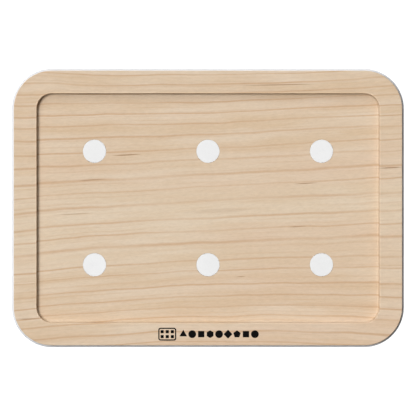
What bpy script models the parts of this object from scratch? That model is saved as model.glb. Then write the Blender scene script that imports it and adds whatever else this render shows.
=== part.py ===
"""Activity tile board: a milled wooden tray on a moulded white base.

The tray's shallow recess takes six square tiles, three along and two across. Under the middle of
each tile place a white cap stands flush in the recess floor and hides a disc magnet. Screws from
below hold the base to the tray's rim, and four soft feet carry the board.

Metres, +Z up, +X along the board, -Y towards the player. The origin is on the table, under the
middle of the board.
"""

import math

import bmesh
import bpy
from mathutils import Matrix, Vector

# The tile grid sets the recess, the recess and the rim set the tray, and the tray sets the base.
TILE_PITCH = 0.120
TILES_ALONG = 3
TILES_ACROSS = 2
TILE_PLAY = 0.00075
RIM_WIDTH = 0.0242
LEDGE_WIDTH = 0.0024
GAP = 0.0003

# The wooden tray.
RECESS_LENGTH = TILES_ALONG * TILE_PITCH + 2 * TILE_PLAY
RECESS_WIDTH = TILES_ACROSS * TILE_PITCH + 2 * TILE_PLAY
RECESS_DEPTH = 0.008
RECESS_BRINK_RADIUS = 0.0007
RECESS_FOOT_RADIUS = 0.0025
TRAY_LENGTH = RECESS_LENGTH + 2 * RIM_WIDTH
TRAY_WIDTH = RECESS_WIDTH + 2 * RIM_WIDTH
TRAY_THICKNESS = 0.015
TRAY_CORNER_RADIUS = 0.040
RECESS_CORNER_RADIUS = TRAY_CORNER_RADIUS - RIM_WIDTH
TRAY_EDGE_RADIUS = 0.0009

# The white base: a shallow pan that the tray drops into.
BASE_LENGTH = TRAY_LENGTH + 2 * LEDGE_WIDTH
BASE_WIDTH = TRAY_WIDTH + 2 * LEDGE_WIDTH
BASE_CORNER_RADIUS = TRAY_CORNER_RADIUS + LEDGE_WIDTH
BASE_FLOOR = 0.0025
BASE_HEIGHT = 0.0070
BASE_LIP_RADIUS = 0.0016
BASE_UNDER_RADIUS = 0.0020

# Heights, from the table up.
FOOT_STANDOUT = 0.0015
BASE_BOTTOM = FOOT_STANDOUT
BASE_TOP = BASE_BOTTOM + BASE_HEIGHT
PAN_FLOOR = BASE_BOTTOM + BASE_FLOOR
TRAY_BOTTOM = PAN_FLOOR + GAP
TRAY_TOP = TRAY_BOTTOM + TRAY_THICKNESS
RECESS_FLOOR = TRAY_TOP - RECESS_DEPTH

# Magnet caps, pushed up into stepped holes from under the tray, and the magnets in them.
CAP_HOLE_RADIUS = 0.0125
CAP_STEP_RADIUS = 0.0155
CAP_STEP_TOP = TRAY_BOTTOM + 0.0022
CAP_TOP_THICKNESS = 0.0015
CAP_BORE_RADIUS = 0.0104
CAP_EDGE_RADIUS = 0.0004
MAGNET_RADIUS = 0.0100
MAGNET_THICKNESS = 0.0030
MAGNET_CHAMFER = 0.0003
BOSS_RADIUS = 0.0095
BOSS_TOP = CAP_STEP_TOP - GAP
BOSS_CORE_RADIUS = 0.0072

# Countersunk screws and the soft feet.
SCREW_LENGTH = 0.0135
SCREW_HEAD_RADIUS = 0.0033
SCREW_SHANK_RADIUS = 0.0015
SCREW_POINT = 0.0025
SCREW_SINK = 0.0002
CROSS_ARM = 0.0016
CROSS_HALF_WIDTH = 0.00045
CROSS_DEPTH = 0.0012
FOOT_RADIUS = 0.0080
FOOT_SEAT = 0.0008
FOOT_EDGE_RADIUS = 0.0006

# Fineness of the round stretches, and how far a cutter runs past the face that it opens.
CORNER_STEPS = 10
EDGE_STEPS = 3
HOLE_STEPS = 32
SCREW_STEPS = 16
CUT_MARGIN = 0.002


def clear_scene():
    """Takes every object out of the scene."""
    for old in list(bpy.data.objects):
        bpy.data.objects.remove(old, do_unlink=True)


def make_material(name, colour, roughness, metallic=0.0):
    """A plain finish of that colour."""
    material = bpy.data.materials.new(name)
    material.use_nodes = True
    shader = material.node_tree.nodes["Principled BSDF"]
    shader.inputs["Base Color"].default_value = (*colour, 1.0)
    shader.inputs["Roughness"].default_value = roughness
    shader.inputs["Metallic"].default_value = metallic
    material.diffuse_color = (*colour, 1.0)
    return material


def add_object(name, bm, material, location=(0, 0, 0)):
    """Makes an object of the bmesh, shaded smooth where its faces meet gently."""
    mesh = bpy.data.meshes.new(name)
    bm.to_mesh(mesh)
    bm.free()
    mesh.shade_smooth()
    mesh.set_sharp_from_angle(angle=math.radians(35))
    mesh.materials.append(material)
    made = bpy.data.objects.new(name, mesh)
    made.location = location
    bpy.context.scene.collection.objects.link(made)
    return made


def combine(target, operation, name, bm):
    """Joins a form to the target, or cuts it out, with a helper that isn't part of the model."""
    helper = add_object(name, bm, target.data.materials[0])
    helper.hide_render = True
    helper.display_type = "WIRE"
    modifier = target.modifiers.new(name, "BOOLEAN")
    modifier.operation = operation
    modifier.solver = "EXACT"
    modifier.object = helper


def arc(across, up, radius, start, end, steps=EDGE_STEPS):
    """Points of a profile's arc about (across, up), between two angles in degrees."""
    turns = [math.radians(start + (end - start) * step / steps) for step in range(steps + 1)]
    return [(across + radius * math.cos(turn), up + radius * math.sin(turn)) for turn in turns]


def ring(outline, inset, height):
    """A rounded rectangle's points, counter-clockwise, inset from the outline's own size."""
    length, width, corner_radius = outline
    radius = corner_radius - inset
    points = []
    for quarter, (side_x, side_y) in enumerate(((1, 1), (-1, 1), (-1, -1), (1, -1))):
        centre = Vector(
            (side_x * (length / 2 - corner_radius), side_y * (width / 2 - corner_radius), height)
        )
        for step in range(CORNER_STEPS + 1):
            turn = (quarter + step / CORNER_STEPS) * math.pi / 2
            points.append(centre + radius * Vector((math.cos(turn), math.sin(turn), 0)))
    return points


def lofted(rings):
    """A closed bmesh skinned over the rings in turn, with its first and last ring filled."""
    bm = bmesh.new()
    loops = [[bm.verts.new(point) for point in points] for points in rings]
    for near, far in zip(loops, loops[1:]):
        for i in range(len(near)):
            bm.faces.new((near[i - 1], near[i], far[i], far[i - 1]))
    bm.faces.new(loops[0])
    bm.faces.new(loops[-1])
    bmesh.ops.recalc_face_normals(bm, faces=bm.faces)
    return bm


def turned(profile, steps=HOLE_STEPS):
    """A closed bmesh turned about the Z axis from (radius, height) points, axis to axis."""
    bm = bmesh.new()
    points = [bm.verts.new((radius, 0, height)) for radius, height in profile]
    edges = [bm.edges.new(pair) for pair in zip(points, points[1:])]
    bmesh.ops.spin(
        bm,
        geom=points + edges,
        cent=(0, 0, 0),
        axis=(0, 0, 1),
        angle=2 * math.pi,
        steps=steps,
    )
    bmesh.ops.remove_doubles(bm, verts=bm.verts, dist=1e-7)
    bmesh.ops.recalc_face_normals(bm, faces=bm.faces)
    return bm


def at_each(bm, places):
    """The form copied to each of the places."""
    form = list(bm.verts) + list(bm.edges) + list(bm.faces)
    originals = list(bm.verts)
    for place in places:
        copied = bmesh.ops.duplicate(bm, geom=form)["geom"]
        verts = [item for item in copied if isinstance(item, bmesh.types.BMVert)]
        bmesh.ops.translate(bm, verts=verts, vec=place)
    bmesh.ops.delete(bm, geom=originals, context="VERTS")
    return bm


def tile_centres():
    """The middles of the tile places, row by row from the back left."""
    return [
        Vector((column - (TILES_ALONG - 1) / 2, (TILES_ACROSS - 1) / 2 - row, 0)) * TILE_PITCH
        for row in range(TILES_ACROSS)
        for column in range(TILES_ALONG)
    ]


def screw_places():
    """Screws along the middle of the rim: at the four corners, then halfway along each side."""
    half_length = (TRAY_LENGTH - RIM_WIDTH) / 2
    half_width = (TRAY_WIDTH - RIM_WIDTH) / 2
    turn_in = (TRAY_CORNER_RADIUS - RIM_WIDTH / 2) * (1 - math.cos(math.pi / 4))
    corners = [
        Vector((side_x * (half_length - turn_in), side_y * (half_width - turn_in), 0))
        for side_y in (1, -1)
        for side_x in (-1, 1)
    ]
    sides = [Vector((0, side_y * half_width, 0)) for side_y in (1, -1)]
    ends = [Vector((side_x * half_length, 0, 0)) for side_x in (-1, 1)]
    return corners + sides + ends


def foot_places():
    """One foot at the centre of each rounded corner, by name."""
    x = TRAY_LENGTH / 2 - TRAY_CORNER_RADIUS
    y = TRAY_WIDTH / 2 - TRAY_CORNER_RADIUS
    return {
        "foot_back_left": Vector((-x, y, 0)),
        "foot_back_right": Vector((x, y, 0)),
        "foot_front_left": Vector((-x, -y, 0)),
        "foot_front_right": Vector((x, -y, 0)),
    }


def make_tray(wood):
    """The wooden tray, with its milled recess, stepped cap holes and blind screw holes."""
    outside = (TRAY_LENGTH, TRAY_WIDTH, TRAY_CORNER_RADIUS)
    recess = (RECESS_LENGTH, RECESS_WIDTH, RECESS_CORNER_RADIUS)
    edge, brink, foot = TRAY_EDGE_RADIUS, RECESS_BRINK_RADIUS, RECESS_FOOT_RADIUS
    rim = [(0, TRAY_BOTTOM), *arc(edge, TRAY_TOP - edge, edge, 180, 90)]
    wall = [
        *arc(-brink, TRAY_TOP - brink, brink, 90, 0),
        *arc(foot, RECESS_FLOOR + foot, foot, 180, 270),
    ]
    rings = [ring(outside, inset, height) for inset, height in rim]
    rings += [ring(recess, inset, height) for inset, height in wall]
    tray = add_object("wood_tray", lofted(rings), wood)

    cap_hole = [
        (0, TRAY_BOTTOM - CUT_MARGIN),
        (CAP_STEP_RADIUS, TRAY_BOTTOM - CUT_MARGIN),
        (CAP_STEP_RADIUS, CAP_STEP_TOP),
        (CAP_HOLE_RADIUS, CAP_STEP_TOP),
        (CAP_HOLE_RADIUS, RECESS_FLOOR + CUT_MARGIN),
        (0, RECESS_FLOOR + CUT_MARGIN),
    ]
    combine(tray, "DIFFERENCE", "cap_holes", at_each(turned(cap_hole), tile_centres()))

    pilot_radius = SCREW_SHANK_RADIUS + GAP
    pilot_top = BASE_BOTTOM + SCREW_LENGTH + GAP
    pilot = [
        (0, TRAY_BOTTOM - CUT_MARGIN),
        (pilot_radius, TRAY_BOTTOM - CUT_MARGIN),
        (pilot_radius, pilot_top),
        (0, pilot_top),
    ]
    pilots = at_each(turned(pilot, SCREW_STEPS), screw_places())
    combine(tray, "DIFFERENCE", "pilot_holes", pilots)


def make_base(plastic):
    """The moulded base: a pan with a rounded lip, cored magnet bosses, screw holes, foot seats."""
    outside = (BASE_LENGTH, BASE_WIDTH, BASE_CORNER_RADIUS)
    inside = (TRAY_LENGTH + 2 * GAP, TRAY_WIDTH + 2 * GAP, TRAY_CORNER_RADIUS + GAP)
    under, lip = BASE_UNDER_RADIUS, BASE_LIP_RADIUS
    skirt = [
        *arc(under, BASE_BOTTOM + under, under, 270, 180),
        *arc(lip, BASE_TOP - lip, lip, 180, 90),
    ]
    rings = [ring(outside, inset, height) for inset, height in skirt]
    rings += [ring(inside, 0, BASE_TOP), ring(inside, 0, PAN_FLOOR)]
    base = add_object("base_shell", lofted(rings), plastic)

    boss_root = BASE_BOTTOM + BASE_FLOOR / 2
    boss = [(0, boss_root), (BOSS_RADIUS, boss_root), (BOSS_RADIUS, BOSS_TOP), (0, BOSS_TOP)]
    combine(base, "UNION", "bosses", at_each(turned(boss), tile_centres()))

    below = BASE_BOTTOM - CUT_MARGIN
    core_top = BOSS_TOP - BASE_FLOOR
    core = [(0, below), (BOSS_CORE_RADIUS, below), (BOSS_CORE_RADIUS, core_top), (0, core_top)]
    combine(base, "DIFFERENCE", "boss_cores", at_each(turned(core), tile_centres()))

    sink_radius = SCREW_HEAD_RADIUS + GAP
    neck_radius = SCREW_SHANK_RADIUS + GAP
    cone_foot = BASE_BOTTOM + SCREW_SINK
    countersink = [
        (0, below),
        (sink_radius, below),
        (sink_radius, cone_foot),
        (neck_radius, cone_foot + sink_radius - neck_radius),
        (neck_radius, PAN_FLOOR + CUT_MARGIN),
        (0, PAN_FLOOR + CUT_MARGIN),
    ]
    countersinks = at_each(turned(countersink, SCREW_STEPS), screw_places())
    combine(base, "DIFFERENCE", "countersinks", countersinks)

    seat_radius, seat_top = FOOT_RADIUS + GAP, BASE_BOTTOM + FOOT_SEAT
    seat = [(0, below), (seat_radius, below), (seat_radius, seat_top), (0, seat_top)]
    combine(base, "DIFFERENCE", "foot_seats", at_each(turned(seat), foot_places().values()))


def make_caps(plastic):
    """Six flanged cups that close the tray's holes from below, flush with the recess floor."""
    body_radius = CAP_HOLE_RADIUS - GAP
    flange_radius = CAP_STEP_RADIUS - GAP
    flange_top = CAP_STEP_TOP - GAP
    ceiling = RECESS_FLOOR - CAP_TOP_THICKNESS
    edge = CAP_EDGE_RADIUS
    profile = [
        (0, ceiling),
        (CAP_BORE_RADIUS, ceiling),
        (CAP_BORE_RADIUS, TRAY_BOTTOM),
        (flange_radius, TRAY_BOTTOM),
        (flange_radius, flange_top),
        (body_radius, flange_top),
        *arc(body_radius - edge, RECESS_FLOOR - edge, edge, 0, 90),
        (0, RECESS_FLOOR),
    ]
    for number, centre in enumerate(tile_centres(), start=1):
        add_object(f"magnet_cap_{number}", turned(profile), plastic, centre)


def make_magnets(nickel):
    """Six disc magnets, each between its cap and the boss of the base."""
    bottom = BOSS_TOP + GAP
    top = bottom + MAGNET_THICKNESS
    profile = [
        (0, bottom),
        (MAGNET_RADIUS - MAGNET_CHAMFER, bottom),
        (MAGNET_RADIUS, bottom + MAGNET_CHAMFER),
        (MAGNET_RADIUS, top - MAGNET_CHAMFER),
        (MAGNET_RADIUS - MAGNET_CHAMFER, top),
        (0, top),
    ]
    for number, centre in enumerate(tile_centres(), start=1):
        add_object(f"magnet_{number}", turned(profile), nickel, centre)


def cross_prism(bottom, top):
    """An upright bar with a plus sign's section, for the screws' drive."""
    arm, half = CROSS_ARM, CROSS_HALF_WIDTH
    quarter = [Vector((arm, -half, bottom)), Vector((arm, half, bottom))]
    quarter.append(Vector((half, half, bottom)))
    bm = bmesh.new()
    outline = [
        bm.verts.new(Matrix.Rotation(turn * math.pi / 2, 3, "Z") @ point)
        for turn in range(4)
        for point in quarter
    ]
    raised = bmesh.ops.extrude_face_region(bm, geom=[bm.faces.new(outline)])["geom"]
    verts = [item for item in raised if isinstance(item, bmesh.types.BMVert)]
    bmesh.ops.translate(bm, verts=verts, vec=(0, 0, top - bottom))
    bmesh.ops.recalc_face_normals(bm, faces=bm.faces)
    return bm


def make_screws(steel):
    """Eight countersunk screws, heads down, through the base and into the rim."""
    head_face = BASE_BOTTOM + SCREW_SINK
    tip = BASE_BOTTOM + SCREW_LENGTH
    profile = [
        (0, head_face),
        (SCREW_HEAD_RADIUS, head_face),
        (SCREW_SHANK_RADIUS, head_face + SCREW_HEAD_RADIUS - SCREW_SHANK_RADIUS),
        (SCREW_SHANK_RADIUS, tip - SCREW_POINT),
        (0, tip),
    ]
    for number, place in enumerate(screw_places(), start=1):
        screw = add_object(f"screw_{number}", turned(profile, SCREW_STEPS), steel, place)
        drive = cross_prism(head_face - CUT_MARGIN, head_face + CROSS_DEPTH)
        combine(screw, "DIFFERENCE", f"drive_{number}", at_each(drive, [place]))


def make_feet(rubber):
    """Four soft feet in shallow seats under the base."""
    top = BASE_BOTTOM + FOOT_SEAT - GAP
    edge = FOOT_EDGE_RADIUS
    profile = [(0, 0), *arc(FOOT_RADIUS - edge, edge, edge, -90, 0), (FOOT_RADIUS, top), (0, top)]
    for name, place in foot_places().items():
        add_object(name, turned(profile), rubber, place)


def main():
    """Makes the whole board."""
    clear_scene()
    make_tray(make_material("pale_wood", (0.72, 0.55, 0.38), 0.55))
    make_base(make_material("white_plastic", (0.84, 0.84, 0.83), 0.45))
    make_caps(make_material("cap_plastic", (0.84, 0.84, 0.84), 0.40))
    make_magnets(make_material("magnet_nickel", (0.70, 0.69, 0.66), 0.22, metallic=1.0))
    make_screws(make_material("screw_steel", (0.60, 0.60, 0.58), 0.35, metallic=1.0))
    make_feet(make_material("foot_rubber", (0.62, 0.63, 0.63), 0.75))


main()
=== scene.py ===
"""The activity tile board's looks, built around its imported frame.

A milled maple tray lies in a white moulded base. Six white caps stand flush in the recess floor,
over nickel-plated magnets, and countersunk screws and soft feet are underneath.

Metres, +Z up, +X along the board, -Y towards the player.
"""

import math

import bmesh
import bpy
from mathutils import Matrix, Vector


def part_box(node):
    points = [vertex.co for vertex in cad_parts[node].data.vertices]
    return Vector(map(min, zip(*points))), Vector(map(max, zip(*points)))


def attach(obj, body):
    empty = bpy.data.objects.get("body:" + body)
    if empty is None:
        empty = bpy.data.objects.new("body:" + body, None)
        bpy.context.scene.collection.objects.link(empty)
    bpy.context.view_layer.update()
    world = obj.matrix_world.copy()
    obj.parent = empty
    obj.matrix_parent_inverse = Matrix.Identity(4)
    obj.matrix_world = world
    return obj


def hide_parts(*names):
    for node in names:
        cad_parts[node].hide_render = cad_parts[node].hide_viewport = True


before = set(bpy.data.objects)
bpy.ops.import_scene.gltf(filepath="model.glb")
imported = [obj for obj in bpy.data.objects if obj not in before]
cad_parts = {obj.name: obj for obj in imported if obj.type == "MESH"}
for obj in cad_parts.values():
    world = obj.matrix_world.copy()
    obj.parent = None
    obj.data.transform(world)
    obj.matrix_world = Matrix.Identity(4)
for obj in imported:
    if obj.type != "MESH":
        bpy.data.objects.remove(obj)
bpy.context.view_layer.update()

# The frame's own sizes, which every piece is placed by.
TRAY_LOW, TRAY_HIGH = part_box("wood_tray")
BASE_LOW, BASE_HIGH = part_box("base_shell")
CAP_LOW, CAP_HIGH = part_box("magnet_cap_1")
MAGNET_LOW, MAGNET_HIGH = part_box("magnet_1")
SCREW_LOW, SCREW_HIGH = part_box("screw_1")
FOOT_LOW, FOOT_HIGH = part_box("foot_back_left")
RECESS_FLOOR = CAP_HIGH.z
RIM_TOP = TRAY_HIGH.z
CAPS = [f"magnet_cap_{number}" for number in range(1, 7)]
MAGNETS = [f"magnet_{number}" for number in range(1, 7)]
SCREWS = [f"screw_{number}" for number in range(1, 9)]
FEET = ["foot_back_left", "foot_back_right", "foot_front_left", "foot_front_right"]

# Shaping sizes that the frame doesn't give: first fits, and how far a tool cuts past a face.
FIT_GAP = 0.0003
RIM_GAP = 0.00005
CUT_PAST = 0.002

# The tray: its rim, the rounds of its edges, and the holes for the screws.
RIM_WIDTH = 0.0239
TRAY_CORNER = 0.040
TRAY_EDGE = 0.0005
RECESS_BRINK = 0.0004
RECESS_FOOT = 0.0025
PILOT_RADIUS = 0.0018

# The base: ledge, rounds, sunk panel, bosses with cores, countersinks, gate dimple, foot seats.
LEDGE_WIDTH = BASE_HIGH.x - TRAY_HIGH.x
BASE_LIP = 0.0016
BASE_UNDER = 0.0020
BASE_FLOOR = 0.0025
PANEL_INSET = 0.024
PANEL_DEPTH = 0.0004
BOSS_RADIUS = 0.0095
CORE_RADIUS = 0.0072
CORE_EDGE = 0.0006
SINK_RADIUS = 0.0036
SINK_NECK = 0.0018
GATE_MOUTH = 0.0030
GATE_BOTTOM = 0.0022
GATE_DEPTH = 0.0009
SEAT_RADIUS = 0.0083

# A cap, the stepped hole that it stands in, and its magnet.
CAP_RADIUS = 0.01225
CAP_FOOT_RADIUS = 0.0122
CAP_TAPER = 0.0008
CAP_EDGE = 0.0003
CAP_HOLE = 0.01233
CAP_STEP = 0.0155
CAP_BORE = 0.0104
CAP_SKIN = 0.0015
FLANGE_RADIUS = 0.0152
FLANGE_DEPTH = 0.0019
MAGNET_EDGE = 0.0004

# A screw. THREAD_OUT is how far the middle of its thread stands out of the shank.
HEAD_RADIUS = 0.0033
HEAD_EDGE = 0.00015
SHANK_RADIUS = 0.00145
SCREW_TIP = 0.0025
TIP_RADIUS = 0.0002
CROSS_SIZE = (0.0033, 0.0009, 0.0026)
CROSS_TAPER = 0.45
THREAD_START = 0.0036
THREAD_OUT = 0.00008
THREAD_SIZE = 0.00040
THREAD_PITCH = 0.0012

# A foot's sole.
SOLE_EDGE = 0.0006
SOLE_GROOVE = 0.0003
SOLE_RINGS = (0.0022, 0.0040, 0.0058)

# The ink. The rim's top lies PRINT_RISE under the frame's, which leaves room for it.
PRINT_RISE = 0.00005
INK_TOP = RIM_TOP - 0.00001
INK_DEPTH = 0.00010
INK_BEAD = 0.00001
BEAD_WIDTH = 0.00025

# The printed strip. A shape of the row is its number of sides and its turn.
PRINT_MARGIN = 0.0118
PRINT_START = -0.0261
PRINT_PITCH = 0.00945
PRINT_CORNER = 0.00045
SHAPE_RADIUS = 0.0041
SHAPE_GROWTH = 1.15
ICON_X = -0.0430
ICON_LENGTH = 0.0190
ICON_WIDTH = 0.0136
ICON_LINE = 0.0013
ICON_CORNER = 0.0025
ICON_HOLE_CORNER = 0.0014
ICON_COLUMN = 0.0054
ICON_ROW = 0.0052
ICON_TILE = 0.0024
DISC = 48
EIGHTH_TURN = math.pi / 4
PRINT_ROW = (
    (3, 0.0),
    (DISC, 0.0),
    (4, EIGHTH_TURN),
    (6, 0.0),
    (DISC, 0.0),
    (4, 0.0),
    (5, 0.0),
    (4, EIGHTH_TURN),
    (DISC, 0.0),
)


def spot(node):
    """Where a frame node's upright axis meets the ground."""
    low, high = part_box(node)
    return Vector(((low.x + high.x) / 2, (low.y + high.y) / 2, 0))


# ---------------------------------------------------------------- tools for shaping


def select_only(*pieces):
    """Selects these objects and nothing else, the first of them active."""
    bpy.ops.object.select_all(action="DESELECT")
    for piece in pieces:
        piece.select_set(True)
    bpy.context.view_layer.objects.active = pieces[0]


def name_new(name):
    """Names the primitive that was just added, and puts its place and size into its mesh."""
    piece = bpy.context.active_object
    piece.name = name
    piece.data.name = name
    bpy.ops.object.transform_apply(location=True, rotation=True, scale=True)
    return piece


def open_for_edit(piece):
    """Opens one piece for editing, with nothing selected in it."""
    select_only(piece)
    bpy.ops.object.mode_set(mode="EDIT")
    bpy.ops.mesh.select_all(action="DESELECT")


def close_edit():
    """Goes back from editing a mesh to whole objects."""
    bpy.ops.object.mode_set(mode="OBJECT")


def select_edges(piece, wanted):
    """Selects the edges that the test wants."""
    bpy.ops.mesh.select_mode(type="EDGE")
    bpy.ops.mesh.select_all(action="DESELECT")
    grid = bmesh.from_edit_mesh(piece.data)
    for edge in grid.edges:
        edge.select_set(wanted(edge))
    bmesh.update_edit_mesh(piece.data)


def select_faces(piece, wanted):
    """Selects the faces that the test wants."""
    bpy.ops.mesh.select_mode(type="FACE")
    bpy.ops.mesh.select_all(action="DESELECT")
    grid = bmesh.from_edit_mesh(piece.data)
    for face in grid.faces:
        face.select_set(wanted(face))
    bmesh.update_edit_mesh(piece.data)


def round_selected(radius, segments):
    """Rounds the selected edges."""
    bpy.ops.mesh.bevel(
        offset=radius, offset_type="OFFSET", segments=segments, profile=0.5, affect="EDGES"
    )


def apply_all(piece):
    """Applies every modifier on the piece, in order."""
    select_only(piece)
    for modifier in list(piece.modifiers):
        bpy.ops.object.modifier_apply(modifier=modifier.name)


def combine(piece, tool, operation):
    """Cuts the tool out of the piece, or joins it on, and takes the tool away."""
    modifier = piece.modifiers.new(operation, "BOOLEAN")
    modifier.operation = operation
    modifier.solver = "EXACT"
    modifier.object = tool
    apply_all(piece)
    bpy.data.objects.remove(tool, do_unlink=True)
    open_for_edit(piece)
    bpy.ops.mesh.select_all(action="SELECT")
    bpy.ops.mesh.remove_doubles(threshold=2e-6)
    bpy.ops.mesh.dissolve_degenerate(threshold=2e-6)
    close_edit()


def finish_shading(piece, angle=30):
    """Smooth shading that keeps flat faces flat."""
    select_only(piece)
    bpy.ops.object.shade_smooth_by_angle(angle=math.radians(angle))
    piece.modifiers.new("flat_faces", "WEIGHTED_NORMAL").keep_sharp = True
    apply_all(piece)


def turned(name, profile, steps):
    """A piece turned about the Z axis from (radius, height) points, from axis to axis."""
    bpy.ops.mesh.primitive_plane_add(size=0.001, location=(profile[0][0], 0, profile[0][1]))
    piece = name_new(name)
    open_for_edit(piece)
    bpy.ops.mesh.select_mode(type="VERT")
    bpy.ops.mesh.select_all(action="SELECT")
    bpy.ops.mesh.merge(type="CENTER")
    for (radius, height), (next_radius, next_height) in zip(profile, profile[1:]):
        step = (next_radius - radius, 0, next_height - height)
        bpy.ops.mesh.extrude_region_move(TRANSFORM_OT_translate={"value": step})
    bpy.ops.mesh.select_all(action="SELECT")
    bpy.ops.mesh.spin(
        steps=steps, angle=2 * math.pi, center=(0, 0, 0), axis=(0, 0, 1), use_auto_merge=False
    )
    bpy.ops.mesh.select_all(action="SELECT")
    bpy.ops.mesh.remove_doubles(threshold=1e-6)
    bpy.ops.mesh.normals_make_consistent(inside=False)
    close_edit()
    return piece


def arc(across, up, radius, start, end, steps=5):
    """Points of a profile's arc about (across, up), between two angles in degrees."""
    turns = [math.radians(start + (end - start) * step / steps) for step in range(steps + 1)]
    return [(across + radius * math.cos(turn), up + radius * math.sin(turn)) for turn in turns]


def copied_to(model, name, place):
    """A copy of a piece with its own mesh, moved by the vector place."""
    copy = model.copy()
    copy.data = model.data.copy()
    copy.name = name
    copy.data.name = name
    bpy.context.scene.collection.objects.link(copy)
    select_only(copy)
    copy.location = place
    bpy.ops.object.transform_apply(location=True, rotation=False, scale=False)
    return copy


def joined(name, pieces):
    """Several pieces made one object."""
    select_only(*pieces)
    bpy.ops.object.join()
    whole = bpy.context.active_object
    whole.name = name
    whole.data.name = name
    return whole


def spread(tool, nodes):
    """A copy of the tool at each node, all made one object, and the tool itself taken away."""
    name = tool.name
    copies = [copied_to(tool, f"{name}_{number}", spot(node)) for number, node in enumerate(nodes)]
    bpy.data.objects.remove(tool, do_unlink=True)
    return joined(f"{name}s", copies)


def dress(piece, material):
    """Gives the piece one finish."""
    piece.data.materials.clear()
    piece.data.materials.append(material)


def settle(piece, slot, *nodes):
    """The piece rides on the board and stands for these nodes. The slot is not used."""
    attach(piece, "root")
    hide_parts(*nodes)


# ---------------------------------------------------------------- tools for finishes


class Finish:
    """A material's node graph, with short ways to add what this board's finishes use."""

    def __init__(self, name):
        self.material = bpy.data.materials.new(name)
        self.material.use_nodes = True
        self.tree = self.material.node_tree
        self.shader = self.tree.nodes["Principled BSDF"]
        self.place = self.tree.nodes.new("ShaderNodeTexCoord").outputs["Object"]

    def put(self, socket, value):
        """Links a node's output to the socket, or sets a number or colour on it."""
        if isinstance(value, bpy.types.NodeSocket):
            self.tree.links.new(value, socket)
        elif value is not None:
            socket.default_value = value

    def math(self, operation, first, second=None):
        """A sum on numbers."""
        node = self.tree.nodes.new("ShaderNodeMath")
        node.operation = operation
        self.put(node.inputs[0], first)
        self.put(node.inputs[1], second)
        return node.outputs[0]

    def add(self, first, second):
        return self.math("ADD", first, second)

    def less(self, first, second):
        return self.math("SUBTRACT", first, second)

    def times(self, first, second):
        return self.math("MULTIPLY", first, second)

    def axes(self):
        """The place's x, y and z."""
        node = self.tree.nodes.new("ShaderNodeSeparateXYZ")
        self.put(node.inputs[0], self.place)
        return node.outputs["X"], node.outputs["Y"], node.outputs["Z"]

    def point(self, x, y, z):
        """A point from three numbers."""
        node = self.tree.nodes.new("ShaderNodeCombineXYZ")
        for socket, value in zip(node.inputs, (x, y, z)):
            self.put(socket, value)
        return node.outputs[0]

    def noise(self, point, scale=1.0, detail=2.0, roughness=0.5):
        """Smooth noise, about 0.5."""
        node = self.tree.nodes.new("ShaderNodeTexNoise")
        self.put(node.inputs["Vector"], point)
        self.put(node.inputs["Scale"], scale)
        self.put(node.inputs["Detail"], detail)
        self.put(node.inputs["Roughness"], roughness)
        return node.outputs["Fac"]

    def ramp(self, value, low, high, to_low=0.0, to_high=1.0, smooth=True):
        """The value brought from one range to another, and kept within it."""
        node = self.tree.nodes.new("ShaderNodeMapRange")
        node.interpolation_type = "SMOOTHSTEP" if smooth else "LINEAR"
        for socket, number in zip(node.inputs, (value, low, high, to_low, to_high)):
            self.put(socket, number)
        return node.outputs["Result"]

    def blend(self, share, first, second, mode="MIX"):
        """Two colours mixed."""
        node = self.tree.nodes.new("ShaderNodeMix")
        node.data_type = "RGBA"
        node.blend_type = mode
        self.put(node.inputs["Factor"], share)
        self.put(node.inputs["A"], first)
        self.put(node.inputs["B"], second)
        return node.outputs["Result"]

    def bump(self, height, distance, strength=1.0):
        """A surface normal from a height."""
        node = self.tree.nodes.new("ShaderNodeBump")
        self.put(node.inputs["Height"], height)
        self.put(node.inputs["Distance"], distance)
        self.put(node.inputs["Strength"], strength)
        self.put(self.shader.inputs["Normal"], node.outputs["Normal"])


def screen_colour(red, green, blue):
    """A paint chip's 0 to 255 values as linear light."""
    shares = [value / 255 for value in (red, green, blue)]
    linear = [s / 12.92 if s <= 0.04045 else ((s + 0.055) / 1.055) ** 2.4 for s in shares]
    return (*linear, 1.0)


def lit(colour, share):
    """The paint colour that looks like that chip when this much light falls on it."""
    return (*[min(1.0, channel / share) for channel in colour[:3]], 1.0)


# ---------------------------------------------------------------- finishes

# How much brighter than its own colour a matt surface looks on top of the board.
STUDIO_LIGHT = 1.05

# The grain climbs by GRAIN_CLIMB over GRAIN_LENGTH on the board's middle line, and by CLIMB_FALL
# less at GRAIN_WIDTH to either side. Both ends of a line bend forwards: by ARCH_MIDDLE on the
# middle line, by ARCH_GROWTH more at the front, and by as much less, so backwards, at the back.
GRAIN_LENGTH = 0.20
GRAIN_WIDTH = 0.13
GRAIN_CLIMB = 0.0104
CLIMB_FALL = 0.0065
ARCH_GROWTH = 0.0068
ARCH_MIDDLE = 0.0012

# The rings: their tilt through the board's thickness, their number per metre, how they close up
# away from the middle, and half a ring line's width as a share of a ring.
RING_TILT = 0.2
RINGS_PER_METRE = 66.0
RINGS_CLOSING = 605.0
LINE_HALF_WIDTH = 0.125

# Short dark flecks in the wood: shares of the tray's half length and half width, then the
# fleck's half length, half thickness and strength.
FLECKS = (
    (-0.42, 0.387, 0.018, 0.00080, 1.00),
    (-0.60, 0.205, 0.017, 0.00070, 0.75),
    (0.505, 0.180, 0.015, 0.00070, 0.80),
    (0.365, 0.897, 0.046, 0.00070, 0.85),
    (-0.92, -0.808, 0.015, 0.00070, 0.85),
    (-0.69, -0.044, 0.024, 0.00060, 0.60),
    (0.46, -0.136, 0.012, 0.00060, 0.70),
    (0.94, 0.293, 0.015, 0.00080, 0.95),
    (0.17, -0.500, 0.006, 0.00060, 0.70),
    (0.06, -0.020, 0.040, 0.00300, 0.20),
)


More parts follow.
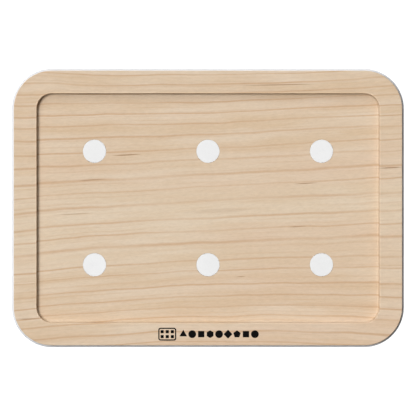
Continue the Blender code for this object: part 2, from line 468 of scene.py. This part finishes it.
def wood_growth(wood):
    """How far a point lies up through the rings: they rise to the right and arch in front."""
    x, y, z = wood.axes()
    along = wood.times(x, 1 / GRAIN_LENGTH)
    across = wood.times(y, 1 / GRAIN_WIDTH)
    climb = wood.less(GRAIN_CLIMB, wood.times(wood.times(across, across), CLIMB_FALL))
    arch = wood.less(wood.times(across, ARCH_GROWTH), ARCH_MIDDLE)
    rise = wood.add(wood.times(climb, along), wood.times(arch, wood.times(along, along)))
    slow = wood.noise(wood.point(wood.times(x, 11), wood.times(y, 16), wood.times(z, 4)))
    quick = wood.noise(wood.point(wood.times(x, 34), wood.times(y, 40), wood.times(z, 8)))
    wander = wood.add(wood.times(slow, 0.0060), wood.times(quick, 0.0010))
    return wood.add(wood.add(wood.less(y, rise), wood.times(z, RING_TILT)), wander)


def thin_lines(wood, count, half_width, weakest):
    """A thin line halfway through each whole step of the count, stronger here and weaker there."""
    x, _, _ = wood.axes()
    ring = wood.math("FLOOR", count)
    off_line = wood.math("ABSOLUTE", wood.less(wood.math("FRACT", count), 0.5))
    line = wood.ramp(off_line, 0.0, half_width, 1.0, 0.0)
    place = wood.point(wood.times(x, 8), wood.times(ring, 5.31), 1.3)
    depth = wood.noise(place, detail=3.0)
    return wood.times(line, wood.ramp(depth, 0.30, 0.66, weakest, 1.0))


def ring_lines(wood, growth):
    """How strong the late wood is: the rings run closer towards both long edges."""
    _, y, _ = wood.axes()
    cube = wood.times(wood.times(growth, growth), growth)
    count = wood.add(wood.times(growth, RINGS_PER_METRE), wood.times(cube, RINGS_CLOSING))
    uneven = wood.noise(wood.point(wood.times(growth, 34), 0.0, 3.7), detail=1.0)
    count = wood.add(count, wood.times(uneven, 1.3))
    bolder = wood.ramp(wood.math("ABSOLUTE", y), 0.03, 0.10, 0.95, 1.25)
    main_lines = wood.times(thin_lines(wood, count, LINE_HALF_WIDTH, 0.45), bolder)
    between = thin_lines(wood, wood.times(count, 2.6), 0.22, -0.6)
    return wood.math("MAXIMUM", main_lines, wood.times(between, 0.34))


def streaks(wood, growth, along, through, detail=3.0):
    """Noise drawn out along the fibre."""
    x, _, z = wood.axes()
    place = wood.point(wood.times(x, along), wood.times(growth, through), wood.times(z, through))
    return wood.noise(place, detail=detail, roughness=0.6)


def past_outline(wood, half_length, half_width, corner):
    """How far a point lies outside a rounded rectangle about the middle of the board."""
    x, y, _ = wood.axes()
    over_x = wood.math("MAXIMUM", wood.less(wood.math("ABSOLUTE", x), half_length - corner), 0.0)
    over_y = wood.math("MAXIMUM", wood.less(wood.math("ABSOLUTE", y), half_width - corner), 0.0)
    square = wood.add(wood.times(over_x, over_x), wood.times(over_y, over_y))
    return wood.less(wood.math("SQRT", square), corner)


def add_flecks(wood, colour, brown):
    """The colour with the short dark flecks in it."""
    x, y, _ = wood.axes()
    for share_x, share_y, half, thick, strength in FLECKS:
        fleck_x = share_x * TRAY_HIGH.x
        fleck_y = share_y * TRAY_HIGH.y
        lean = (GRAIN_CLIMB - CLIMB_FALL * (fleck_y / GRAIN_WIDTH) ** 2) / GRAIN_LENGTH
        aside = wood.less(x, fleck_x)
        above = wood.less(wood.less(y, fleck_y), wood.times(aside, lean))
        far = wood.times(aside, 1 / half)
        off = wood.times(above, 1 / thick)
        reach = wood.add(wood.times(far, far), wood.times(off, off))
        mark = wood.ramp(reach, 0.0, 1.0, strength, 0.0)
        colour = wood.blend(mark, colour, brown)
    return colour


def end_grain(wood):
    """How much darker the sawn ends are, with open pores, than the long edges."""
    x, y, z = wood.axes()
    past = past_outline(wood, TRAY_HIGH.x, TRAY_HIGH.y, TRAY_CORNER)
    outside = wood.ramp(past, -0.0008, -0.0001)
    across = wood.ramp(wood.math("ABSOLUTE", x), TRAY_HIGH.x - TRAY_CORNER, TRAY_HIGH.x)
    tubes = wood.noise(wood.point(0.0, wood.times(y, 1800), wood.times(z, 1800)), detail=2.0)
    darker = wood.add(0.06, wood.ramp(tubes, 0.50, 0.72, 0.0, 0.16))
    return wood.times(wood.times(outside, across), darker)


def make_wood():
    """Pale maple under a thin matt oil: thin rings, streaks, flecks, and a painted highlight, a paler
    band along the recess brink.
    """
    wood = Finish("oiled_maple")
    growth = wood_growth(wood)
    line = ring_lines(wood, growth)
    broad = streaks(wood, growth, 5, 70)
    streak = streaks(wood, growth, 20, 270)
    fibre = streaks(wood, growth, 150, 700, detail=4.0)
    warmth = streaks(wood, growth, 3, 24)
    pores = wood.ramp(streaks(wood, growth, 330, 2600, detail=1.0), 0.56, 0.72)

    cream = lit(screen_colour(220, 199, 174), STUDIO_LIGHT)
    tan = lit(screen_colour(212, 185, 153), STUDIO_LIGHT)
    pink = lit(screen_colour(217, 187, 160), STUDIO_LIGHT)
    heart = lit(screen_colour(221, 203, 178), STUDIO_LIGHT)
    ring_brown = lit(screen_colour(202, 168, 134), STUDIO_LIGHT)
    fleck_brown = lit(screen_colour(160, 124, 90), STUDIO_LIGHT)
    colour = wood.blend(wood.ramp(broad, 0.34, 0.66), cream, tan)
    middle_band = wood.ramp(wood.math("ABSOLUTE", growth), 0.020, 0.090, 0.55, 0.0)
    colour = wood.blend(middle_band, colour, heart)
    colour = wood.blend(wood.ramp(warmth, 0.46, 0.72, 0.0, 0.5), colour, pink)
    colour = wood.blend(wood.ramp(streak, 0.42, 0.70, 0.0, 0.35), colour, tan)
    colour = wood.blend(wood.ramp(streak, 0.44, 0.26, 0.0, 0.55), colour, cream)
    colour = wood.blend(line, colour, ring_brown)
    colour = add_flecks(wood, colour, fleck_brown)

    half_length = TRAY_HIGH.x - RIM_WIDTH
    half_width = TRAY_HIGH.y - RIM_WIDTH
    past = past_outline(wood, half_length, half_width, TRAY_CORNER - RIM_WIDTH)
    # Painted highlight: the rim's colour is made paler in a band along the recess brink.
    painted_brink_highlight = wood.times(wood.ramp(past, -0.0008, 0.0), wood.ramp(past, 0.0020, 0.0006))
    shade = wood.ramp(fibre, 0.25, 0.75, 0.940, 1.060, smooth=False)
    shade = wood.add(shade, wood.times(painted_brink_highlight, 0.085))
    shade = wood.less(shade, wood.times(pores, 0.055))
    shade = wood.less(shade, end_grain(wood))
    colour = wood.blend(1.0, colour, wood.point(shade, shade, shade), mode="MULTIPLY")

    wood.put(wood.shader.inputs["Base Color"], colour)
    wood.put(wood.shader.inputs["Roughness"], wood.ramp(fibre, 0.2, 0.8, 0.60, 0.48))
    wood.shader.inputs["Specular IOR Level"].default_value = 0.3
    dips = wood.add(wood.times(line, 0.5), wood.times(pores, 0.4))
    wood.bump(wood.less(fibre, dips), 0.00006, 0.6)
    return wood.material


def make_plastic(name, chip, roughness, texture):
    """White moulded plastic with a fine spark-eroded texture and the faintest clouding."""
    plastic = Finish(name)
    clouding = plastic.noise(plastic.place, scale=14.0, detail=3.0)
    colour = lit(screen_colour(*chip), STUDIO_LIGHT)
    duller = (*[channel * 0.965 for channel in colour[:3]], 1.0)
    tint = plastic.blend(plastic.ramp(clouding, 0.3, 0.7), colour, duller)
    plastic.put(plastic.shader.inputs["Base Color"], tint)
    grit = plastic.noise(plastic.place, scale=texture, detail=2.0)
    rough = plastic.ramp(grit, 0.3, 0.7, roughness - 0.06, roughness + 0.06)
    plastic.put(plastic.shader.inputs["Roughness"], rough)
    plastic.shader.inputs["Specular IOR Level"].default_value = 0.35
    plastic.bump(grit, 0.00003, 0.5)
    return plastic.material


def make_plate(name, colour, roughness):
    """Plated metal with faint brushing and dulled patches."""
    plate = Finish(name)
    patches = plate.noise(plate.place, scale=900.0, detail=3.0)
    dull = (*[channel * 0.8 for channel in colour[:3]], 1.0)
    tint = plate.blend(plate.ramp(patches, 0.35, 0.75), colour, dull)
    plate.put(plate.shader.inputs["Base Color"], tint)
    plate.shader.inputs["Metallic"].default_value = 1.0
    rough = plate.ramp(patches, 0.3, 0.7, roughness - 0.08, roughness + 0.12)
    plate.put(plate.shader.inputs["Roughness"], rough)
    plate.bump(patches, 0.00001, 0.4)
    return plate.material


def make_rubber():
    """Pale grey silicone, matt, with a dusty bloom."""
    rubber = Finish("foot_silicone")
    dust = rubber.noise(rubber.place, scale=260.0, detail=4.0)
    grey = screen_colour(186, 188, 189)
    dusty = screen_colour(202, 203, 201)
    rubber.put(
        rubber.shader.inputs["Base Color"], rubber.blend(rubber.ramp(dust, 0.4, 0.7), grey, dusty)
    )
    rubber.put(rubber.shader.inputs["Roughness"], rubber.ramp(dust, 0.3, 0.7, 0.70, 0.88))
    rubber.bump(dust, 0.00004, 0.5)
    return rubber.material


def make_ink():
    """Black pad-printing ink, a little thin where the fibres stand up."""
    ink = Finish("print_ink")
    x, y, z = ink.axes()
    fibre = ink.noise(ink.point(ink.times(x, 60), ink.times(y, 900), z), detail=3.0)
    black = screen_colour(5, 4, 4)
    thin = screen_colour(30, 25, 21)
    ink.put(ink.shader.inputs["Base Color"], ink.blend(ink.ramp(fibre, 0.55, 0.80), black, thin))
    ink.put(ink.shader.inputs["Roughness"], ink.ramp(fibre, 0.3, 0.7, 0.45, 0.62))
    ink.shader.inputs["Specular IOR Level"].default_value = 0.04
    ink.bump(fibre, 0.00002, 0.4)
    return ink.material


# ---------------------------------------------------------------- pieces


def rounded_block(name, low, high, corner, segments=24):
    """A block of that box with its four upright edges rounded."""
    bpy.ops.mesh.primitive_cube_add(size=1, location=(low + high) / 2, scale=high - low)
    block = name_new(name)
    open_for_edit(block)
    select_edges(block, lambda e: abs(e.verts[0].co.z - e.verts[1].co.z) > 1e-5)
    round_selected(corner, segments)
    return block


def at_height(edge, height):
    """Whether the edge lies at this height."""
    return all(abs(vert.co.z - height) < 1e-6 for vert in edge.verts)


def beside_wall(edge):
    """Whether an upright wall meets the edge."""
    return any(abs(face.normal.z) < 0.01 for face in edge.link_faces)


def wall_faces_out(edge):
    """Whether an upright wall that meets the edge looks away from the middle of the board."""
    walls = [face for face in edge.link_faces if abs(face.normal.z) < 0.01]
    return any(wall.normal.dot(wall.calc_center_median()) > 0 for wall in walls)


def sink_top(block, border, height, depth):
    """Insets the top face by the border and pushes it down."""
    select_faces(block, lambda f: f.normal.z > 0.99 and abs(f.calc_center_median().z - height) < 1e-6)
    bpy.ops.mesh.inset(thickness=border, use_even_offset=True)
    bpy.ops.mesh.extrude_region_move(TRANSFORM_OT_translate={"value": (0, 0, -depth)})


def make_tray():
    """The milled tray: rounded block, sunk recess with a coved foot, eased edges, stepped holes."""
    low, high = TRAY_LOW.copy(), TRAY_HIGH.copy()
    high.z -= PRINT_RISE
    tray = rounded_block("milled_tray", low, high, TRAY_CORNER)
    sink_top(tray, RIM_WIDTH, high.z, high.z - RECESS_FLOOR)
    select_edges(tray, lambda e: at_height(e, RECESS_FLOOR) and beside_wall(e))
    round_selected(RECESS_FOOT, 8)
    select_edges(tray, lambda e: at_height(e, high.z) and wall_faces_out(e))
    round_selected(TRAY_EDGE, 4)
    select_edges(tray, lambda e: at_height(e, high.z) and beside_wall(e))
    round_selected(RECESS_BRINK, 4)
    select_edges(tray, lambda e: at_height(e, low.z) and beside_wall(e))
    round_selected(TRAY_EDGE / 2, 2)
    close_edit()

    step_top = CAP_LOW.z + FLANGE_DEPTH + FIT_GAP
    stepped = [
        (0, low.z - CUT_PAST),
        (CAP_STEP, low.z - CUT_PAST),
        (CAP_STEP, step_top),
        (CAP_HOLE, step_top),
        (CAP_HOLE, RECESS_FLOOR + CUT_PAST),
        (0, RECESS_FLOOR + CUT_PAST),
    ]
    combine(tray, spread(turned("cap_drill", stepped, 96), CAPS), "DIFFERENCE")

    pilot_top = SCREW_HIGH.z + FIT_GAP
    pilot = [
        (0, low.z - CUT_PAST),
        (PILOT_RADIUS, low.z - CUT_PAST),
        (PILOT_RADIUS, pilot_top),
        (0, pilot_top),
    ]
    combine(tray, spread(turned("pilot_drill", pilot, 24), SCREWS), "DIFFERENCE")
    finish_shading(tray)
    return tray


def make_base():
    """The moulded base: pan, rounded lip, sunk panel underneath, bosses, wells and countersinks."""
    base = rounded_block("moulded_base", BASE_LOW, BASE_HIGH, TRAY_CORNER + LEDGE_WIDTH)
    sink_top(base, LEDGE_WIDTH - RIM_GAP, BASE_HIGH.z, BASE_HIGH.z - BASE_LOW.z - BASE_FLOOR)
    select_faces(base, lambda f: f.normal.z < -0.99)
    bpy.ops.mesh.inset(thickness=PANEL_INSET, use_even_offset=True)
    bpy.ops.mesh.extrude_region_move(TRANSFORM_OT_translate={"value": (0, 0, PANEL_DEPTH)})
    select_edges(base, lambda e: at_height(e, BASE_HIGH.z) and wall_faces_out(e))
    round_selected(BASE_LIP, 6)
    select_edges(base, lambda e: at_height(e, BASE_LOW.z) and wall_faces_out(e))
    round_selected(BASE_UNDER, 6)
    close_edit()

    boss_top = CAP_LOW.z + FLANGE_DEPTH
    root = BASE_LOW.z + BASE_FLOOR / 2
    boss = [(0, root), (BOSS_RADIUS, root), (BOSS_RADIUS, boss_top), (0, boss_top)]
    combine(base, spread(turned("boss", boss, 64), CAPS), "UNION")

    below = BASE_LOW.z - CUT_PAST
    core_top = boss_top - BASE_FLOOR
    core_corner = arc(CORE_RADIUS - CORE_EDGE, core_top - CORE_EDGE, CORE_EDGE, 0, 90, 3)
    core = [(0, below), (CORE_RADIUS, below), *core_corner, (0, core_top)]
    sink = [
        (0, below),
        (SINK_RADIUS, below),
        (SINK_RADIUS, SCREW_LOW.z),
        (SINK_NECK, SCREW_LOW.z + SINK_RADIUS - SINK_NECK),
        (SINK_NECK, BASE_LOW.z + BASE_FLOOR + CUT_PAST),
        (0, BASE_LOW.z + BASE_FLOOR + CUT_PAST),
    ]
    gate_top = BASE_LOW.z + GATE_DEPTH
    gate = [(0, below), (GATE_MOUTH, below), (GATE_BOTTOM, gate_top), (0, gate_top)]
    seat_top = FOOT_HIGH.z + FIT_GAP
    seat = [(0, below), (SEAT_RADIUS, below), (SEAT_RADIUS, seat_top), (0, seat_top)]
    wells = [
        spread(turned("core", core, 64), CAPS),
        spread(turned("countersink", sink, 48), SCREWS),
        turned("gate_dimple", gate, 48),
        spread(turned("seat", seat, 64), FEET),
    ]
    combine(base, joined("wells", wells), "DIFFERENCE")
    finish_shading(base)
    return base


def make_cap():
    """One flanged cup, modelled on the axis."""
    flange_top = CAP_LOW.z + FLANGE_DEPTH
    profile = [
        (0, CAP_HIGH.z - CAP_SKIN),
        (CAP_BORE, CAP_HIGH.z - CAP_SKIN),
        (CAP_BORE, CAP_LOW.z),
        (FLANGE_RADIUS, CAP_LOW.z),
        (FLANGE_RADIUS, flange_top),
        (CAP_FOOT_RADIUS, flange_top),
        (CAP_RADIUS, flange_top + CAP_TAPER),
        *arc(CAP_RADIUS - CAP_EDGE, CAP_HIGH.z - CAP_EDGE, CAP_EDGE, 0, 90),
        (0, CAP_HIGH.z),
    ]
    cap = turned("cap_model", profile, 96)
    finish_shading(cap)
    return cap


def make_magnet():
    """One plated disc, modelled on the axis."""
    low, high = MAGNET_LOW.z, MAGNET_HIGH.z
    inner = (MAGNET_HIGH.x - MAGNET_LOW.x) / 2 - MAGNET_EDGE
    profile = [
        (0, low),
        *arc(inner, low + MAGNET_EDGE, MAGNET_EDGE, -90, 0),
        *arc(inner, high - MAGNET_EDGE, MAGNET_EDGE, 0, 90),
        (0, high),
    ]
    magnet = turned("magnet_model", profile, 72)
    finish_shading(magnet)
    return magnet


def make_thread():
    """The screw's thread: a small triangle wound up the shank, with its ends closed."""
    start = (SHANK_RADIUS + THREAD_OUT, 0, SCREW_LOW.z + THREAD_START)
    bpy.ops.mesh.primitive_circle_add(
        vertices=3, radius=THREAD_SIZE, location=start, rotation=(math.pi / 2, 0, 0)
    )
    thread = name_new("screw_thread")
    open_for_edit(thread)
    bpy.ops.mesh.select_all(action="SELECT")
    bpy.ops.transform.rotate(value=math.pi / 2, orient_axis="Y", center_override=start)
    close_edit()
    winding = thread.modifiers.new("winding", "SCREW")
    winding.axis = "Z"
    winding.angle = 2 * math.pi
    winding.screw_offset = THREAD_PITCH
    winding.iterations = 6
    winding.steps = 24
    winding.render_steps = 24
    apply_all(thread)
    open_for_edit(thread)
    bpy.ops.mesh.select_mode(type="EDGE")
    bpy.ops.mesh.select_non_manifold()
    bpy.ops.mesh.fill_holes(sides=4)
    bpy.ops.mesh.select_all(action="SELECT")
    bpy.ops.mesh.normals_make_consistent(inside=False)
    close_edit()
    return thread


def make_cross():
    """The punch that presses the cross recess into the screw's head: two tapering arms."""
    arms = []
    for turn in (0, math.pi / 2):
        bpy.ops.mesh.primitive_cube_add(
            size=1, location=(0, 0, SCREW_LOW.z), rotation=(0, 0, turn), scale=CROSS_SIZE
        )
        arm = name_new(f"cross_arm_{len(arms)}")
        open_for_edit(arm)
        select_faces(arm, lambda f: f.normal.z > 0.99)
        bpy.ops.transform.resize(
            value=(CROSS_TAPER, CROSS_TAPER, 1), center_override=(0, 0, SCREW_LOW.z)
        )
        close_edit()
        arms.append(arm)
    combine(arms[0], arms[1], "UNION")
    return arms[0]


def make_screw():
    """One countersunk screw, head down: turned body, pressed cross recess, cut thread."""
    low, high = SCREW_LOW.z, SCREW_HIGH.z
    profile = [
        (0, low),
        *arc(HEAD_RADIUS - HEAD_EDGE, low + HEAD_EDGE, HEAD_EDGE, -90, 0, 3),
        (SHANK_RADIUS, low + HEAD_RADIUS - SHANK_RADIUS + HEAD_EDGE),
        (SHANK_RADIUS, high - SCREW_TIP),
        (TIP_RADIUS, high),
        (0, high),
    ]
    screw = turned("screw_model", profile, 48)
    combine(screw, make_cross(), "DIFFERENCE")
    combine(screw, make_thread(), "UNION")
    finish_shading(screw)
    return screw


def make_foot():
    """One soft foot, modelled on the axis, with gripping rings in its sole."""
    low, high = FOOT_LOW.z, FOOT_HIGH.z
    radius = (FOOT_HIGH.x - FOOT_LOW.x) / 2
    profile = [(0, low)]
    for ring in SOLE_RINGS:
        groove = [(ring - SOLE_GROOVE, low), (ring, low + SOLE_GROOVE), (ring + SOLE_GROOVE, low)]
        profile += groove
    profile += arc(radius - SOLE_EDGE, low + SOLE_EDGE, SOLE_EDGE, -90, 0)
    profile += [(radius, high), (0, high)]
    foot = turned("foot_model", profile, 72)
    finish_shading(foot)
    return foot


def place_copies(model, nodes, names, slot, material):
    """One copy of the model at each node, and the model itself taken away."""
    dress(model, material)
    for node, name in zip(nodes, names):
        copy = copied_to(model, name, spot(node))
        settle(copy, slot, node)
    bpy.data.objects.remove(model, do_unlink=True)


def bead(shape, top):
    """Lowers the middle of a print a hair, so that ink stands up in a bead round its edge."""
    select_faces(shape, lambda f: f.normal.z > 0.99 and abs(f.calc_center_median().z - top) < 1e-6)
    bpy.ops.mesh.inset(thickness=BEAD_WIDTH, use_even_offset=True)
    bpy.ops.transform.translate(value=(0, 0, -INK_BEAD))


def tile_print(name, sides, radius, x, y, turn):
    """One printed tile shape: a regular polygon with softened corners, or a disc of many sides."""
    bpy.ops.mesh.primitive_cylinder_add(
        vertices=sides,
        radius=radius,
        depth=INK_DEPTH,
        location=(x, y, INK_TOP - INK_DEPTH / 2),
        rotation=(0, 0, turn),
    )
    shape = name_new(name)
    open_for_edit(shape)
    if sides < DISC:
        select_edges(shape, lambda e: abs(e.verts[0].co.z - e.verts[1].co.z) > INK_DEPTH / 2)
        round_selected(PRINT_CORNER, 3)
    bead(shape, INK_TOP)
    close_edit()
    return shape


def make_icon(y):
    """The printed small board: an outlined rounded rectangle with six squares in it."""
    half = Vector((ICON_LENGTH, ICON_WIDTH, 0)) / 2
    wall = Vector((ICON_LINE, ICON_LINE, -CUT_PAST / 2))
    low = Vector((ICON_X, y, INK_TOP - INK_DEPTH)) - half
    high = Vector((ICON_X, y, INK_TOP)) + half
    outline = rounded_block("icon_outline", low, high, ICON_CORNER, 8)
    close_edit()
    hole = rounded_block("icon_hole", low + wall, high - wall, ICON_HOLE_CORNER, 6)
    close_edit()
    combine(outline, hole, "DIFFERENCE")
    shapes = [outline]
    for row in (-0.5, 0.5):
        for column in (-1, 0, 1):
            place = (ICON_X + column * ICON_COLUMN, y + row * ICON_ROW)
            shapes.append(tile_print("icon_tile", 4, ICON_TILE, *place, EIGHTH_TURN))
    return shapes


def make_print():
    """The printed strip in the middle of the front rim: a small board, then a row of tile shapes."""
    y = TRAY_LOW.y + PRINT_MARGIN
    shapes = make_icon(y)
    for number, (sides, turn) in enumerate(PRINT_ROW):
        radius = SHAPE_RADIUS * (SHAPE_GROWTH if sides < 5 else 1.0)
        x = PRINT_START + number * PRINT_PITCH
        shapes.append(tile_print("tile_shape", sides, radius, x, y, turn))
    strip = joined("printed_strip", shapes)
    finish_shading(strip)
    return strip


# ---------------------------------------------------------------- the set


def make_set():
    """A plain white floor, a soft lamp on the left, a softer one behind, and the camera above."""
    bpy.ops.mesh.primitive_plane_add(size=40, location=(0, 0, -0.00005))
    floor = name_new("studio_floor")
    paper = Finish("studio_paper")
    paper.shader.inputs["Base Color"].default_value = (0.12, 0.12, 0.12, 1)
    paper.shader.inputs["Roughness"].default_value = 0.9
    paper.shader.inputs["Emission Color"].default_value = (1, 1, 1, 1)
    paper.shader.inputs["Emission Strength"].default_value = 1.10
    dress(floor, paper.material)

    for name, toward, strength, softness in (
        ("lamp_key", Vector((-0.34, 0.09, 1.0)), 2.36, 20),
        ("lamp_back", Vector((-0.35, 1.0, 1.10)), 1.12, 45),
    ):
        light = bpy.data.lights.new(name, "SUN")
        light.energy = strength
        light.angle = math.radians(softness)
        lamp = bpy.data.objects.new(name, light)
        lamp.rotation_mode = "QUATERNION"
        lamp.rotation_quaternion = toward.to_track_quat("Z", "Y")
        bpy.context.scene.collection.objects.link(lamp)

    world = bpy.data.worlds.new("studio")
    world.use_nodes = True
    background = world.node_tree.nodes["Background"]
    background.inputs["Color"].default_value = (1, 1, 1, 1)
    background.inputs["Strength"].default_value = 0.08
    bpy.context.scene.world = world
    bpy.context.scene.view_settings.view_transform = "Standard"

    lens, sensor, view_width = 400.0, 36.0, 0.43982
    camera = bpy.data.cameras.new("camera")
    camera.lens = lens
    camera.sensor_width = sensor
    camera.clip_end = 100
    eye = bpy.data.objects.new("camera", camera)
    eye.location = (0, 0, RECESS_FLOOR + view_width * lens / sensor)
    bpy.context.scene.collection.objects.link(eye)
    bpy.context.scene.camera = eye


def main():
    """Builds every piece and the set."""
    white = make_plastic("white_moulding", (219, 221, 225), 0.46, 2600.0)
    cap_white = make_plastic("cap_moulding", (236, 236, 236), 0.42, 3200.0)
    tray = make_tray()
    dress(tray, make_wood())
    settle(tray, "wood", "wood_tray")
    base = make_base()
    dress(base, white)
    settle(base, "base_plastic", "base_shell")
    place_copies(make_cap(), CAPS, [f"cap_{n}" for n in range(1, 7)], "cap_plastic", cap_white)
    nickel = make_plate("nickel_plate", (0.68, 0.66, 0.61, 1), 0.22)
    discs = [f"disc_magnet_{n}" for n in range(1, 7)]
    place_copies(make_magnet(), MAGNETS, discs, "magnet_nickel", nickel)
    zinc = make_plate("zinc_plate", (0.62, 0.62, 0.61, 1), 0.32)
    fixings = [f"base_screw_{n}" for n in range(1, 9)]
    place_copies(make_screw(), SCREWS, fixings, "screw_steel", zinc)
    soles = ["sole_back_left", "sole_back_right", "sole_front_left", "sole_front_right"]
    place_copies(make_foot(), FEET, soles, "foot_rubber", make_rubber())
    strip = make_print()
    dress(strip, make_ink())
    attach(strip, "root")
    make_set()


main()
